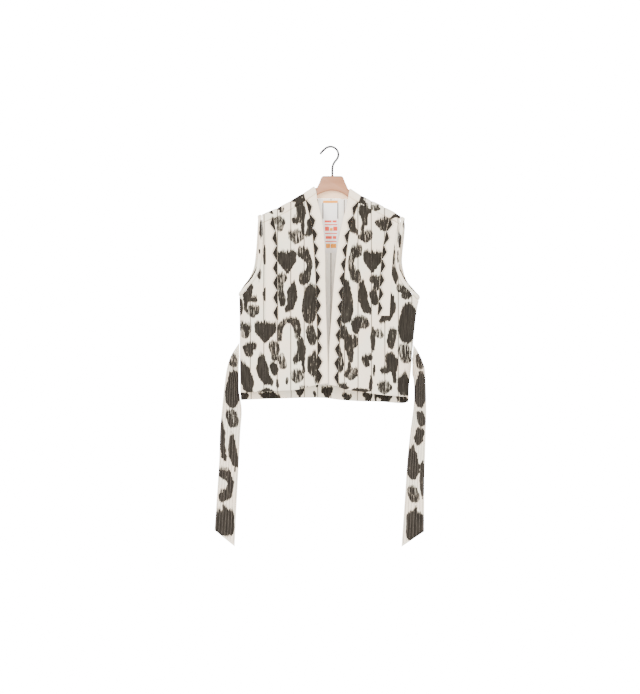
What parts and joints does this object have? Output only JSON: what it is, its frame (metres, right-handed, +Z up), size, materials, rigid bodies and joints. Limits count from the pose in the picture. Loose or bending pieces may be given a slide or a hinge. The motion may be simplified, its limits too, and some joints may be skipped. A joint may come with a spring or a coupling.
{
  "type": "quilted waistcoat on a hanger",
  "caption": "Cropped, open-front quilted waistcoat in an animal-spot print with sawtooth trims and tie belts, hung on a flat wooden hanger.",
  "frame": {"origin": "underside of the hook's wire, where the hook rests on its rod", "axes": "+Z up, -Y out of the garment's front, +X to the right as the front is looked at"},
  "size_m": [0.5821, 0.0729, 1.1008],
  "materials": {
    "printed_quilt": "matt quilted cotton, charcoal spot print on cream",
    "plain_cotton": "matt plain cream cotton",
    "charcoal_trim": "matt charcoal cotton, cut in teeth",
    "printed_binding": "matt printed bias binding",
    "printed_belt": "matt printed cotton with rows of stitching",
    "woven_label": "smooth woven label",
    "hanger_wood": "pale painted wood, satin",
    "hook_steel": "dark plated wire, satin"
  },
  "bodies": {
    "root": {"back": "printed_quilt", "neck_band": "plain_cotton", "front_l": "printed_quilt", "front_r": "printed_quilt", "front_band_l": "plain_cotton", "front_band_r": "plain_cotton", "front_trim_l": "charcoal_trim", "front_trim_r": "charcoal_trim", "chest_strip_l": "plain_cotton", "chest_strip_r": "plain_cotton", "chest_trim_l": "charcoal_trim", "chest_trim_r": "charcoal_trim", "armhole_binding_l": "printed_binding", "armhole_binding_r": "printed_binding", "tie_l": "printed_belt", "tie_r": "printed_belt", "label": "woven_label", "hanger_body": "hanger_wood", "hanger_hook": "hook_steel"}
  },
  "joints": []
}
